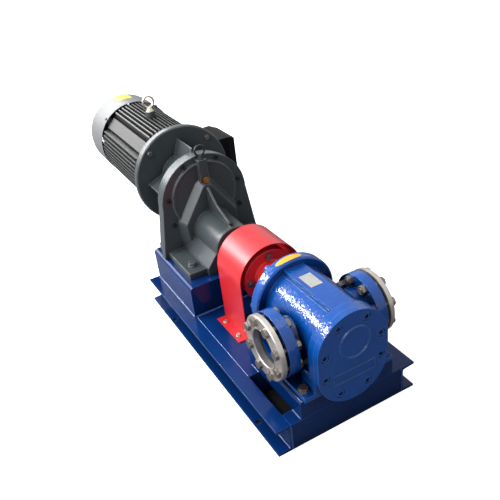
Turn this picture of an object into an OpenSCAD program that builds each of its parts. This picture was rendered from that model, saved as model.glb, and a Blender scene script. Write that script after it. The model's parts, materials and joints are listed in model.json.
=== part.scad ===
// Gear pump set for fuel oil: a gear pump with side ports, an elastic coupling under its guard,
// an inline reduction gearbox and a fan-cooled motor, all on one welded channel base.
// Lengths are in millimetres. +X runs along the shaft, out of the pump's front cover, and +Z is up.
// The origin is the middle of the four anchor holes, on the floor.
// Inside the file, x is counted from the front end of the base, so what lies behind it is negative.

/* [Base frame] */
// Length of the two long channels
base_len = 950; // [946:2:1000]
// Width over the flanges of the long channels
base_w = 490; // [484:2:520]
// Height of the channels
channel_h = 96; // [90:2:110]
// Depth of a channel, from the back of its web to its flange tips
channel_d = 48; // [44:1:54]
// Thickness of a channel's web
channel_web = 6; // [5:0.5:8]
// Thickness of a flange at its tip
flange_tip = 6.5; // [5:0.5:8]
// Thickness of a flange at its root
flange_root = 10; // [9:0.5:12]
// Radius between web and flange
channel_fillet = 7; // [4:1:9]
// Diameter of the anchor holes
anchor_d = 18; // [14:1:22]
// Distance from the base's front end to the first anchor holes
anchor_front = 140; // [100:5:180]
// Distance between anchor holes, along the base
anchor_pitch_x = 624; // [560:4:680]
// Distance of the anchor holes from the channels' outer edges
anchor_edge = 14; // [13:0.5:15]
// Thickness of the deck plate
deck_t = 8; // [6:1:10]
// Where the deck plate ends, behind the base's front end
deck_front = 239; // [236:1:246]

/* [Gearbox pedestal] */
// Height of the pedestal's top above the channels
ped_h = 121; // [110:1:130]
// Length of the pedestal
ped_len = 335; // [330:1:345]
// How far the pedestal reaches behind the gearbox's feet
ped_margin = 7; // [5:1:10]
// Width of the pedestal
ped_w = 406; // [404:1:420]
// Thickness of its folded plate
ped_t = 8; // [6:1:10]
// Outer radius of its fold
ped_fold = 14; // [12:1:18]

/* [Pump stools] */
// Height of the stools above the channels
stool_h = 67; // [60:1:74]
// Outer half width over the two stools
stool_out = 161; // [158:1:164]
// Inner half width, clear of the pump's belly
stool_in = 99; // [97:1:101]
// Thickness of the stools' folded plate
stool_t = 8; // [6:1:10]
// Thickness of the plate that closes a stool's front end
stool_end_t = 6; // [4:1:7]
// Outer radius of a stool's fold
stool_fold = 11; // [10:1:14]

/* [Pump casing] */
// Height of the shaft above the floor
shaft_z = 300; // [298:1:303]
// How far the lower lobe's centre lies under the shaft
lobe_drop = 65; // [62:1:68]
// Radius of the front cover's outline
cover_r = 117; // [115:1:119]
// Thickness of the front cover
cover_t = 20; // [16:1:24]
// How far the front cover stands out in front of the base
cover_proud = 32; // [30:1:36]
// Length of the casing's front flange behind the cover
front_flange_t = 25; // [20:1:30]
// Radius of the barrel between the flanges
barrel_r = 108; // [106:1:110]
// Half width of the flat pad along the top
pad_half = 34; // [26:1:38]
// Height of the flat pad over the shaft
pad_rise = 113; // [112:1:115]
// Radius of the round rear flange
rear_r = 137; // [132:1:142]
// Thickness of the casing's own rear flange
rear_flange_t = 19; // [16:1:22]
// Length of the casing, cover seat to rear flange
casing_len = 279; // [275:1:285]
// Thickness of the rear cover
rear_cover_t = 20; // [18:1:24]
// Thickness of the casing's feet
foot_t = 14; // [12:1:18]
// Outer half width over the casing's feet
foot_half = 152; // [148:1:156]
// Radius of the cover screws' places about each lobe's centre
screw_ring = 93; // [90:1:96]
// Angle of the upper and lower screw pairs from the vertical
screw_angle = 30; // [26:1:34]
// Nominal diameter of the cover screws
cover_screw_d = 16; // [12:1:16]
// Nominal diameter of the pump's foot bolts
foot_bolt_d = 16; // [12:1:16]

/* [Ports] */
// Port centre behind the base's front end
port_back = 124; // [120:1:128]
// Height of the ports' centre above the floor
port_z = 285; // [282:1:288]
// Outer radius of the port flanges
port_r = 100; // [98:1:102]
// Radius of the circle of flange bolts
port_pcr = 82.5; // [81:0.5:83]
// Number of flange bolts at each port
port_bolts = 8; // [4:4:8]
// Nominal diameter of the flange bolts
port_bolt_d = 16; // [14:1:16]
// Clearance of the flange bolts in their holes, all round
port_bolt_clear = 1.5; // [0.5:0.25:1.5]
// Radius of the casing's port bores
port_bore_r = 48; // [40:1:50]
// Radius of the pipe sockets in the companion flanges
pipe_r = 57.7; // [57:0.1:58]
// Outer face of the companion flanges, from the shaft
port_face = 192; // [190:1:198]
// Thickness of a companion flange
companion_t = 16; // [14:1:24]
// Thickness of the gasket between the flanges
gasket_t = 4; // [3:0.5:5]
// Outer radius of the gasket and of the raised faces
gasket_r = 68; // [64:1:70]
// Height of the raised face on each flange
raised_t = 3; // [1:0.5:3]
// Thickness of the casing's own port flange
port_flange_t = 33; // [24:1:34]
// Outer radius of the neck behind the port flange
port_neck_r = 62; // [58:1:64]

/* [Pump gears] */
// Module of the pump's gears
pump_module = 6; // [6:0.25:6.5]
// Teeth on each of the pump's gears
pump_teeth = 16; // [16:1:16]
// Length of the pump's gears
pump_gear_len = 118; // [110:1:122]
// Clearance between a gear's tips and the casing
tip_clear = 0.2; // [0.1:0.05:0.4]
// Clearance at each end of a gear
gear_end_clear = 0.3; // [0.1:0.1:0.5]
// Play between meshing teeth, measured along the pitch circle
tooth_play = 0.35; // [0.25:0.05:0.5]
// Radius of the pump's shafts in their bearings
pump_shaft_r = 22; // [20:0.5:24]
// Running clearance between a shaft and its bearing, on the radius
run_clear = 0.03; // [0.02:0.01:0.06]
// Play of the bearing blocks in the casing
block_clear = 0.05; // [0.03:0.01:0.1]
// Outer radius of the shaft seal
seal_r = 34; // [32:1:38]

/* [Coupling] */
// Outer radius of the coupling flanges
coup_r = 92; // [88:1:96]
// Radius of the coupling hubs
coup_hub_r = 54; // [50:1:56]
// Front face of the pump's coupling flange, behind the base's front end
coup_front = 405; // [402:1:412]
// Thickness of the pump's coupling flange
coup_pump_t = 28; // [24:1:32]
// Thickness of the gearbox's coupling flange
coup_box_t = 46; // [40:1:48]
// Gap between the two coupling flanges
coup_gap = 4; // [3:0.5:6]
// Radius of the circle of coupling pins
pin_ring = 72; // [70:1:74]
// Number of coupling pins
pin_count = 4; // [4:2:8]
// Radius of a coupling pin
pin_r = 7; // [6:0.5:8]
// Outer radius of the rubber sleeves on the pins
sleeve_r = 13; // [12:0.5:14]
// Radius of the shaft ends inside the coupling hubs
coup_shaft_r = 20; // [18:0.5:21.5]
// Length of each coupling hub, from its flange's face
coup_hub_len = 84; // [80:1:88]

/* [Coupling guard] */
// Front edge of the guard, behind the base's front end
guard_front = 397; // [394:1:400]
// Length of the guard along the shaft
guard_len = 160; // [150:1:166]
// Outer radius of the guard's arch
guard_r = 113; // [110:1:116]
// Height of the arch's centre above the floor
guard_z = 304; // [300:1:308]
// Thickness of the guard's sheet
guard_t = 3; // [2:0.5:4]
// Outer half width over the guard's feet
guard_foot = 145; // [140:1:150]
// Spacing of the guard's bolts along the shaft
guard_bolt_pitch = 93; // [80:1:105]

/* [Gearbox] */
// Front face of the gearbox's joint flange, behind the base's front end
box_face = 850; // [846:1:856]
// Thickness of the joint flange
box_flange_t = 28; // [24:1:30]
// Height of the round cover's centre above the floor
arch_z = 423; // [420:1:426]
// Radius of the joint flange's arch
arch_r = 168; // [166:1:173]
// How far the arch's centre lies under the round cover's
arch_drop = 14; // [10:1:16]
// Half width of the joint flange at the feet
box_bottom_half = 196; // [192:1:198]
// Thickness of the gearbox's feet
box_foot_t = 23; // [20:1:26]
// Outer half width over the feet
box_foot_half = 178; // [174:1:184]
// Inner half width of the feet, where the case comes down
box_foot_in = 109; // [105:1:113]
// Front end of the feet, behind the base's front end
box_foot_front = 664; // [660:1:670]
// Rear end of the feet, behind the base's front end
box_foot_rear = 943; // [938:1:946]
// Radius of the round raised cover on the flange
dome_r = 130; // [128:1:132]
// How far the round cover stands out
dome_t = 8; // [6:1:10]
// How far the pear-shaped boss stands out from the flange
boss_t = 35; // [32:1:38]
// Radius of the output barrel
out_barrel_r = 75; // [73:1:77]
// Height of the seat of the gearbox's lifting eye above the arch's centre
column_rise = 143; // [138:1:150]
// End of the output barrel, behind the base's front end
out_end = 640; // [636:1:646]
// Radius of the output shaft in its bearings
out_shaft_r = 25; // [23:0.5:26]
// Depth of the rear case behind the flange
rear_case_t = 28; // [26:1:32]
// Wall thickness of the castings
box_wall = 12; // [10:1:13]
// Clearance under a bolt's shank in the castings, all round
bolt_clear = 0.5; // [0.25:0.25:1]

/* [Gearbox gears] */
// Module of the first pair
first_module = 2; // [2:0.25:2]
// Teeth on the motor's pinion
first_pinion = 17; // [17:1:17]
// Teeth on the first wheel
first_wheel = 68; // [68:1:68]
// Module of the second pair
second_module = 3; // [3:0.25:3]
// Teeth on the second pinion
second_pinion = 16; // [16:1:16]
// Teeth on the output wheel
second_wheel = 44; // [44:1:44]
// Face width of the first pair
first_width = 24; // [20:1:26]
// Face width of the second pair
second_width = 20; // [16:1:22]

/* [Motor] */
// Height of the motor's axis above the floor
motor_z = 441; // [438:1:443]
// Radius of the adapter's flange
adapter_r = 190; // [186:1:194]
// Front face of the adapter's flange, behind the base's front end
adapter_face = 1033; // [1028:1:1040]
// Thickness of the adapter's flange
adapter_t = 20; // [16:1:24]
// Radius of the circle of adapter bolts
adapter_pcr = 167; // [164:1:170]
// Nominal diameter of the adapter's bolts
adapter_bolt_d = 10; // [8:1:13]
// Radius of the neck between gear case and flange
neck_r = 88; // [86:1:96]
// Radius of the room inside the neck
neck_bore_r = 72; // [66:1:74]
// Thickness of the motor's own mounting flange
motor_flange_t = 16; // [14:1:18]
// Radius over the tips of the cooling fins
fin_r = 165; // [162:1:168]
// Radius of the frame under the fins
frame_r = 136; // [132:1:138]
// Bore radius of the frame
frame_bore_r = 124; // [120:1:126]
// Length of the motor's frame
frame_len = 478; // [466:2:490]
// Thickness of a cooling fin
fin_t = 4.5; // [3.5:0.5:6]
// Spacing of the cooling fins
fin_pitch = 15.5; // [14:0.5:18]
// Number of fins on each side of a quarter's middle
fin_pairs = 5; // [3:1:5]
// Radius of the rotor core
rotor_r = 74; // [70:1:78]
// Air gap between rotor and stator
air_gap = 0.6; // [0.4:0.1:1]
// Length of the stator and rotor cores
core_len = 210; // [180:5:240]
// Radius of the motor's shaft in its bearings
motor_shaft_r = 24; // [22:0.5:25]
// Outer radius of the motor's bearings
motor_bearing_r = 50; // [46:1:54]
// Radius of the fan cowl
cowl_r = 166; // [164:1:169]
// Length of the fan cowl
cowl_len = 181; // [174:1:188]
// Thickness of the cowl's sheet
cowl_t = 2; // [1.5:0.5:3]
// Radius of the cooling fan
fan_r = 132; // [120:1:140]
// Radius of the cooling fan's hub
fan_hub_r = 30; // [27:1:34]
// Length of the cooling fan's hub
fan_hub_len = 40; // [36:1:44]
// Distance from the cowl's rear to the fan
fan_inset = 62; // [56:1:70]
// Radius of the shaft's end in the fan
fan_shaft_r = 12; // [11:0.5:14]
// Number of fan blades
fan_blades = 8; // [5:1:10]

/* [Terminal box] */
// Length of the terminal box along the motor
tbox_len = 176; // [160:2:190]
// Height of the terminal box
tbox_h = 150; // [140:2:156]
// Depth of the box's base, from the motor's frame outwards
tbox_d = 62; // [56:1:66]
// Depth of the lid
tlid_d = 40; // [34:1:44]
// Front end of the terminal box, behind the base's front end
tbox_front = 1074; // [1072:1:1080]
// Wall thickness of the terminal box
tbox_wall = 4; // [3:0.5:5]

/* [Lifting eyes] */
// Outer radius of a lifting eye
eye_r = 27; // [25:1:30]
// Thickness of a lifting eye's ring
eye_t = 9; // [8:1:11]
// Outer radius of the gearbox's lifting eye
box_eye_r = 22; // [20:1:25]

/* [Hidden] */
$fn = 64;
e = 0.5;

origin_back = anchor_front + anchor_pitch_x / 2;
anchor_y = base_w / 2 - anchor_edge;
web_back = base_w / 2 - channel_d;
ped_top = channel_h + ped_h;
ped_end = -box_foot_rear - ped_margin;
stool_top = channel_h + stool_h;
foot_top = stool_top + foot_t;

// Stations along the pump
cover_x = cover_proud - cover_t;
barrel_x = cover_x - front_flange_t;
casing_end = cover_x - casing_len;
rear_face = casing_end - rear_cover_t;
lobe_z = shaft_z - lobe_drop;
gear_gap = pump_module * pump_teeth;
driven_z = shaft_z - gear_gap;
gear_tip_r = gear_gap / 2 + 0.95 * pump_module;
cavity_r = gear_tip_r + tip_clear;
gear_x = -port_back - pump_gear_len / 2;
port_seat = port_face - companion_t - gasket_t - 2 * raised_t;
cavity_end = casing_end + 15;
hex_head = 1.6;

// Stations along the gearbox
face_x = -box_face;
joint_x = face_x - box_flange_t;
case_end = joint_x - rear_case_t;
boss_x = face_x + boss_t;
box_foot_top = ped_top + box_foot_t;
plug_z = arch_z + 69.5;
boss_side_z = arch_z - 88;
low_screw_z = arch_z - 83;
first_gap = first_module * (first_pinion + first_wheel) / 2;
second_gap = second_module * (second_pinion + second_wheel) / 2;
axis_gap = motor_z - shaft_z;
mid_up = (second_gap * second_gap - first_gap * first_gap + axis_gap * axis_gap) / (2 * axis_gap);
mid_y = sqrt(second_gap * second_gap - mid_up * mid_up);
mid_z = shaft_z + mid_up;
first_x = case_end + 8;
second_tip_r = second_module * (second_wheel / 2 + 0.95);
first_tip_r = first_module * (first_wheel / 2 + 0.95);
second_x = face_x - second_width;
mid_shaft_r = 14;
mid_bearing_r = 22;
mid_bearing_w = 12;
gear_room_clear = 4;
out_bearing_r = 50;
out_bearing_w = 22;

// Stations along the motor
adapter_x = -adapter_face;
motor_face_x = adapter_x - adapter_t;
frame_x = motor_face_x - motor_flange_t;
frame_end = frame_x - frame_len;
cowl_x = frame_end + 8;
cowl_end = cowl_x - cowl_len;
shield_t = 18;
core_x = frame_x - 105;
bearing_w = 26;
tbox_y = fin_r - 8;
eye_boss = 23;
gland_r = 18;

// Draws in the plane across the shaft, then runs the outline forwards from x by len
module along(x, len) {
    translate([x, 0, 0]) rotate([90, 0, 90]) linear_extrude(len) children();
}

// Turns an outline of [radius, x] points about a shaft at [y, z]
module turned(points, y = 0, z = shaft_z) {
    translate([0, y, z]) rotate([0, 90, 0]) rotate_extrude() polygon(points);
}

// A round bar or hole along the shaft
module round_x(r, x, len, y = 0, z = shaft_z) {
    translate([x, y, z]) rotate([0, 90, 0]) cylinder(r = r, h = len);
}

// A round bar or hole upwards
module round_z(r, x, y, z, len) {
    translate([x, y, z]) cylinder(r = r, h = len);
}

module hexagon(across, len) {
    cylinder(r = across / sqrt(3), h = len, $fn = 6);
}

// Hexagon bolt, head up, with its washer; the underside of the washer is at the origin
module hex_bolt(d, grip, washer = true) {
    lift = washer ? 0.18 * d : 0;
    translate([0, 0, -grip]) cylinder(r = d / 2, h = grip + lift + e);
    if (washer) cylinder(r = 1.05 * d, h = lift);
    translate([0, 0, lift]) intersection() {
        hexagon(hex_head * d, 0.62 * d);
        cylinder(r1 = 1.05 * d, r2 = 0.78 * d, h = 0.75 * d);
    }
}

// Hexagon nut about an upright thread, its lower face at the origin
module hex_nut(d) {
    difference() {
        hexagon(hex_head * d, 0.8 * d);
        translate([0, 0, -e]) cylinder(r = d / 2, h = 0.8 * d + 2 * e);
    }
}

// Channel section, back of the web on the left
module channel_section(h) {
    difference() {
        square([channel_d, h]);
        difference() {
            polygon([[channel_web, flange_root], [channel_d + e, flange_tip],
                [channel_d + e, h - flange_tip], [channel_web, h - flange_root]]);
            for (up = [0, 1]) translate([0, up * h]) mirror([0, up]) difference() {
                translate([channel_web, flange_root - 2]) square(channel_fillet);
                translate([channel_web + channel_fillet, flange_root + channel_fillet - 1])
                    circle(channel_fillet);
            }
        }
    }
}

module long_channel(side) {
    difference() {
        along(-base_len, base_len)
            mirror([side < 0 ? 1 : 0, 0]) translate([web_back, 0]) channel_section(channel_h);
        for (back = [anchor_front, anchor_front + anchor_pitch_x])
            round_z(anchor_d / 2, -back, side * anchor_y, -e, flange_root + 2 * e);
    }
}

// Channel across the base, its web towards the given end
module cross_channel(x, h, forward) {
    translate([x, -web_back, 0]) mirror([forward ? 1 : 0, 0, 0]) rotate([90, 0, 0])
        mirror([0, 0, 1]) linear_extrude(2 * web_back) channel_section(h);
}

module left_channel() { color("royalblue") long_channel(-1); }
module right_channel() { color("royalblue") long_channel(1); }
module front_cross_channel() { color("royalblue") cross_channel(0, channel_h, true); }
module middle_cross_channel() {
    color("royalblue") cross_channel(-deck_front, channel_h - deck_t, true);
}
module rear_cross_channel() { color("royalblue") cross_channel(-base_len, channel_h, false); }

module deck_plate() {
    color("royalblue") difference() {
        translate([-base_len + channel_d, -web_back, channel_h - deck_t])
            cube([base_len - channel_d - deck_front, 2 * web_back, deck_t]);
        guard_bolt_places() round_z(4, 0, 0, channel_h - deck_t - e, deck_t + 2 * e);
    }
}

// Folded plate, open below: width w, height h, both upper corners folded to radius r
module folded_section(w, h, t, r) {
    difference() {
        union() {
            translate([-w / 2, 0]) square([w, h - r]);
            translate([-w / 2 + r, 0]) square([w - 2 * r, h]);
            for (side = [-1, 1]) translate([side * (w / 2 - r), h - r]) circle(r);
        }
        translate([-w / 2 + t, -e]) square([w - 2 * t, h - r + e]);
        translate([-w / 2 + r, -e]) square([w - 2 * r, h - t + e]);
        for (side = [-1, 1]) translate([side * (w / 2 - r), h - r]) circle(r - t);
    }
}

module gearbox_pedestal() {
    color("mediumblue") difference() {
        union() {
            translate([0, 0, channel_h]) along(ped_end, ped_len)
                folded_section(ped_w, ped_h, ped_t, ped_fold);
            for (x = [ped_end, ped_end + ped_len - ped_t])
                translate([x, -ped_w / 2 + ped_t / 2, channel_h])
                    cube([ped_t, ped_w - ped_t, ped_h - ped_t / 2]);
        }
        box_foot_places() round_z(foot_bolt_d / 2 + bolt_clear, 0, 0, ped_top - 2 * ped_t, 3 * ped_t);
    }
}

// Puts its children at each of the gearbox's foot bolts
module box_foot_places() {
    for (x = [-box_foot_front - 50, -box_foot_rear + 17.5])
        for (side = [-1, 1])
            translate([x, side * (box_foot_in + box_foot_half) / 2, 0]) children();
}

// Puts its children at each of the pump's foot bolts
module pump_foot_places() {
    for (x = [-21, -deck_front + 26])
        for (side = [-1, 1]) translate([x, side * (foot_half - 16.4), 0]) children();
}

module pump_stool(side) {
    w = stool_out - stool_in;
    difference() {
        union() {
            translate([0, side * (stool_out + stool_in) / 2, channel_h])
                along(-deck_front - channel_d, deck_front + channel_d)
                    folded_section(w, stool_h, stool_t, stool_fold);
            along(-stool_end_t, stool_end_t) difference() {
                translate([side > 0 ? 0.2 : -stool_out + stool_t / 2, channel_h])
                    square([stool_out - stool_t / 2 - 0.2, stool_h - stool_t / 2]);
                translate([0, lobe_z]) circle(cover_r + 2);
            }
        }
        pump_foot_places() round_z(foot_bolt_d / 2 + bolt_clear, 0, 0, stool_top - 2 * stool_t, 3 * stool_t);
    }
}

module left_pump_stool() { color("mediumblue") pump_stool(-1); }
module right_pump_stool() { color("mediumblue") pump_stool(1); }

// Outline of the pump across the shaft: an arch over the shaft and one round the lower lobe
module lobes(r) {
    translate([0, shaft_z]) circle(r);
    translate([0, lobe_z]) circle(r);
    translate([-r, lobe_z]) square([2 * r, lobe_drop]);
}

// Outline of the two gear bores
module gear_bores(r) {
    translate([0, shaft_z]) circle(r);
    translate([0, driven_z]) circle(r);
}

// The eight places of the front cover's screws, as [y, z]
function cover_screw_places() = concat(
    [for (side = [-1, 1]) [side * screw_ring * sin(screw_angle), shaft_z + screw_ring * cos(screw_angle)]],
    [for (side = [-1, 1]) [side * screw_ring, shaft_z + 4]],
    [for (side = [-1, 1]) [side * screw_ring, lobe_z - 7]],
    [for (side = [-1, 1]) [side * screw_ring * sin(screw_angle), lobe_z - screw_ring * cos(screw_angle)]]);

rear_screw_ring = (rear_r + seal_r + 30) / 2 + 18;
function rear_screw_places() = [for (a = [30:60:330])
    [rear_screw_ring * sin(a), shaft_z + rear_screw_ring * cos(a)]];

// One side port of the casing: neck, flange, raised face and the holes for its bolts
module casing_port(side) {
    translate([-port_back, 0, port_z]) rotate([side > 0 ? -90 : 90, 0, 0]) {
        cylinder(r = port_neck_r, h = port_seat);
        translate([0, 0, port_seat - port_flange_t]) cylinder(r = port_r, h = port_flange_t);
        translate([0, 0, port_seat - 5]) cylinder(r = gasket_r, h = 5 + raised_t);
    }
}

module port_cuts(side) {
    reach = port_face;
    translate([-port_back, 0, port_z]) rotate([side > 0 ? -90 : 90, 0, 0]) {
        translate([0, 0, cavity_r / 2]) cylinder(r = port_bore_r, h = reach);
        port_bolt_places() translate([0, 0, port_seat - port_flange_t - e])
            cylinder(r = port_bolt_d / 2 + port_bolt_clear, h = reach);
    }
}

// Puts its children at each flange bolt, in a frame whose Z runs along the port
module port_bolt_places() {
    for (i = [0:port_bolts - 1])
        rotate([0, 0, (i + 0.5) * 360 / port_bolts]) translate([port_pcr, 0, 0]) children();
}

module pump_casing() {
    color("dodgerblue") difference() {
        union() {
            along(barrel_x, front_flange_t) lobes(cover_r);
            along(casing_end, barrel_x - casing_end) lobes(barrel_r);
            translate([casing_end, -pad_half, shaft_z]) cube([barrel_x - casing_end + e, 2 * pad_half, pad_rise]);
            translate([casing_end, -pad_half - 7, shaft_z])
                cube([barrel_x - casing_end + e, 2 * pad_half + 14, pad_rise - 10]);
            turned([[0, casing_end], [rear_r, casing_end], [rear_r, casing_end + rear_flange_t - 5],
                [rear_r - 5, casing_end + rear_flange_t], [0, casing_end + rear_flange_t]]);
            casing_port(-1);
            casing_port(1);
            for (side = [-1, 1]) {
                translate([-deck_front, side > 0 ? 0 : -foot_half, stool_top])
                    cube([deck_front + cover_x, foot_half, foot_t]);
                along(barrel_x - 40, front_flange_t + 40) polygon([
                    [0, foot_top - e], [side * (cover_r + 1.5), foot_top - e],
                    [side * (cover_r + 1.5), foot_top + 14], [side * cover_r, foot_top + 26],
                    [side * cover_r, lobe_z], [0, lobe_z]]);
            }
        }
        along(cavity_end, casing_len) gear_bores(cavity_r);
        translate([-port_back - port_bore_r, -2 * port_neck_r / 2, driven_z + 10])
            cube([2 * port_bore_r, 2 * port_neck_r, port_z - driven_z - 10]);
        port_cuts(-1);
        port_cuts(1);
        round_x(pump_shaft_r + 2, casing_end - e, 30);
        for (p = cover_screw_places())
            round_x(cover_screw_d / 2, cover_x - 30, 31, p[0], p[1]);
        for (p = rear_screw_places())
            round_x(cover_screw_d / 2, casing_end - e, 14, p[0], p[1]);
        pump_foot_places() round_z(foot_bolt_d / 2 + bolt_clear, 0, 0, stool_top - e, foot_t + 2 * e);
    }
}

module front_cover() {
    ring_z = shaft_z + 14;
    color("dodgerblue") difference() {
        union() {
            along(cover_x, cover_t) lobes(cover_r);
            turned([[45, cover_proud - e], [45, cover_proud + 1], [47.5, cover_proud + 3],
                [51, cover_proud + 3], [53.5, cover_proud + 1], [53.5, cover_proud - e]], 6, ring_z);
            along(cover_proud - e, 2 + e) translate([0, lobe_z - 24]) difference() {
                square([142, 36], center = true);
                square([136, 30], center = true);
            }
        }
        for (p = cover_screw_places()) {
            round_x(cover_screw_d / 2 + bolt_clear, cover_x - e, cover_t + 2 * e, p[0], p[1]);
            round_x(cover_screw_d * 0.85, cover_proud - cover_screw_d, cover_screw_d + e, p[0], p[1]);
        }
    }
}

// Socket-head screw along the shaft; its head's seat is at x and it runs backwards
module socket_screw_x(d, x, grip, y, z) {
    difference() {
        union() {
            round_x(d / 2, x - grip, grip + e, y, z);
            round_x(d * 0.78, x, d * 0.9, y, z);
        }
        translate([x + d * 0.4, y, z]) rotate([0, 90, 0]) hexagon(d * 0.78, d);
    }
}

module pump_cover_screws() {
    color("dimgray") {
        for (p = cover_screw_places())
            socket_screw_x(cover_screw_d, cover_proud - cover_screw_d, cover_t + 12, p[0], p[1]);
        for (p = rear_screw_places()) mirror([1, 0, 0])
            socket_screw_x(cover_screw_d, -rear_face, rear_cover_t + 10, p[0], p[1]);
    }
}

module rear_cover() {
    color("dodgerblue") difference() {
        turned([[0, rear_face], [rear_r - 4, rear_face], [rear_r, rear_face + 4], [rear_r, casing_end],
            [0, casing_end]]);
        round_x(seal_r, rear_face + 6, rear_cover_t);
        round_x(pump_shaft_r + 2, rear_face - e, rear_cover_t);
        for (p = rear_screw_places())
            round_x(cover_screw_d / 2 + bolt_clear, rear_face - e, rear_cover_t + 2 * e, p[0], p[1]);
    }
}

module bearing_block(x, len) {
    difference() {
        along(x, len) gear_bores(cavity_r - block_clear);
        for (z = [shaft_z, driven_z])
            round_x(pump_shaft_r + run_clear, x - e, len + 2 * e, 0, z);
    }
}

front_block_x = gear_x + pump_gear_len + gear_end_clear;
rear_block_len = gear_x - gear_end_clear - cavity_end;
module front_bearing_block() {
    color("darkgoldenrod") bearing_block(front_block_x, cover_x - front_block_x);
}
module rear_bearing_block() { color("darkgoldenrod") bearing_block(cavity_end, rear_block_len); }

module shaft_seal() {
    color("black") difference() {
        round_x(seal_r, rear_face + 6, rear_cover_t - 6);
        round_x(pump_shaft_r + run_clear, rear_face, rear_cover_t + 1);
        turned([[pump_shaft_r + 3, rear_face + 6 - e], [seal_r - 3, rear_face + 6 - e],
            [seal_r - 3, rear_face + 12], [pump_shaft_r + 3, rear_face + 12]]);
    }
}

// Half the angle of a tooth at radius r, in degrees
function involute(a) = tan(a) * 180 / PI - a;
function tooth_half(r, teeth, m) =
    90 / teeth - tooth_play * 90 / (PI * m * teeth / 2) + involute(20)
    - involute(acos(min(1, m * teeth / 2 * cos(20) / r)));

// Spur gear with involute flanks, one tooth on the +X axis of its own plane
module gear_outline(teeth, m) {
    pitch_r = m * teeth / 2;
    tip_r = pitch_r + 0.95 * m;
    root_r = pitch_r - 1.25 * m;
    start_r = max(pitch_r * cos(20), root_r);
    steps = 3;
    radii = [for (i = [0:steps]) start_r + (tip_r - start_r) * i / steps];
    flank = concat([[root_r, tooth_half(start_r, teeth, m)]], [for (r = radii) [r, tooth_half(r, teeth, m)]]);
    last = len(flank) - 1;
    polygon([for (k = [0:teeth - 1]) each concat(
        [for (i = [0:last]) flank[i][0] * [cos(k * 360 / teeth - flank[i][1]), sin(k * 360 / teeth - flank[i][1])]],
        [for (i = [last:-1:0]) flank[i][0] * [cos(k * 360 / teeth + flank[i][1]), sin(k * 360 / teeth + flank[i][1])]])]);
}

module gear(teeth, m, x, len, y, z, turn, bore) {
    difference() {
        translate([0, y, z]) along(x, len) rotate(turn) gear_outline(teeth, m);
        if (bore > 0) round_x(bore, x - e, len + 2 * e, y, z);
    }
}

key_w = 10;
key_x = gear_x + 20;
key_len = pump_gear_len - 40;

module drive_gear() {
    color("silver") difference() {
        gear(pump_teeth, pump_module, gear_x, pump_gear_len, 0, shaft_z, -90, pump_shaft_r);
        translate([gear_x - e, -key_w / 2, shaft_z]) cube([pump_gear_len + 2 * e, key_w, pump_shaft_r + 4]);
    }
}

module driven_gear() {
    color("silver") gear(pump_teeth, pump_module, gear_x, pump_gear_len, 0, driven_z,
        90 + 180 / pump_teeth, pump_shaft_r);
}

module drive_shaft() {
    coup_hub_end = -coup_front + coup_hub_len;
    color("lightgray") difference() {
        turned([[0, -coup_front - coup_pump_t + 2], [coup_shaft_r - 1, -coup_front - coup_pump_t + 2],
            [coup_shaft_r, -coup_front - coup_pump_t + 3], [coup_shaft_r, coup_hub_end],
            [pump_shaft_r, coup_hub_end], [pump_shaft_r, cover_x - 6], [0, cover_x - 6]]);
        translate([key_x, -key_w / 2, shaft_z + pump_shaft_r - 5]) cube([key_len, key_w, 10]);
    }
}

module drive_gear_key() {
    color("gray") translate([key_x, -key_w / 2, shaft_z + pump_shaft_r - 5]) cube([key_len, key_w, 8.5]);
}

module driven_shaft() {
    color("lightgray") turned([[0, cavity_end + 2], [pump_shaft_r, cavity_end + 2],
        [pump_shaft_r, cover_x - 6], [0, cover_x - 6]], 0, driven_z);
}

module foot_bolts() {
    color("gainsboro") {
        box_foot_places() translate([0, 0, box_foot_top]) hex_bolt(foot_bolt_d, box_foot_t + ped_t + 16);
        box_foot_places() translate([0, 0, ped_top - ped_t]) mirror([0, 0, 1]) hex_nut(foot_bolt_d);
        pump_foot_places() translate([0, 0, foot_top]) hex_bolt(foot_bolt_d, foot_t + stool_t + 16);
        pump_foot_places() translate([0, 0, stool_top - stool_t]) mirror([0, 0, 1]) hex_nut(foot_bolt_d);
    }
}

module gasket(side) {
    translate([-port_back, side * (port_face - companion_t - gasket_t - raised_t), port_z])
        rotate([side > 0 ? -90 : 90, 0, 0]) difference() {
            cylinder(r = gasket_r, h = gasket_t);
            translate([0, 0, -e]) cylinder(r = port_bore_r, h = gasket_t + 2 * e);
        }
}

module inlet_gasket() { color("black") gasket(-1); }
module outlet_gasket() { color("black") gasket(1); }

module companion_flange(side) {
    translate([-port_back, side * (port_face - companion_t), port_z])
        rotate([side > 0 ? -90 : 90, 0, 0]) difference() {
            union() {
                translate([0, 0, 0]) cylinder(r = port_r, h = companion_t - 3);
                translate([0, 0, companion_t - 3]) cylinder(r1 = port_r, r2 = port_r - 3, h = 3);
                translate([0, 0, -raised_t]) cylinder(r = gasket_r, h = raised_t + e);
                cylinder(r = pipe_r + 5, h = companion_t + 1.5);
            }
            translate([0, 0, -10]) cylinder(r = pipe_r, h = companion_t + 20);
            translate([0, 0, companion_t - 1]) cylinder(r1 = pipe_r - 0.5, r2 = pipe_r + 3, h = 3.5);
            port_bolt_places() translate([0, 0, -10])
                cylinder(r = port_bolt_d / 2 + port_bolt_clear, h = companion_t + 20);
        }
}

module inlet_companion_flange() { color("silver") companion_flange(-1); }
module outlet_companion_flange() { color("silver") companion_flange(1); }

module flange_bolts(side) {
    stack = companion_t + gasket_t + 2 * raised_t + port_flange_t;
    translate([-port_back, side * port_face, port_z]) rotate([side > 0 ? -90 : 90, 0, 0])
        port_bolt_places() {
            hex_bolt(port_bolt_d, stack + port_bolt_d, false);
            translate([0, 0, -stack]) mirror([0, 0, 1]) hex_nut(port_bolt_d);
        }
}

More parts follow.
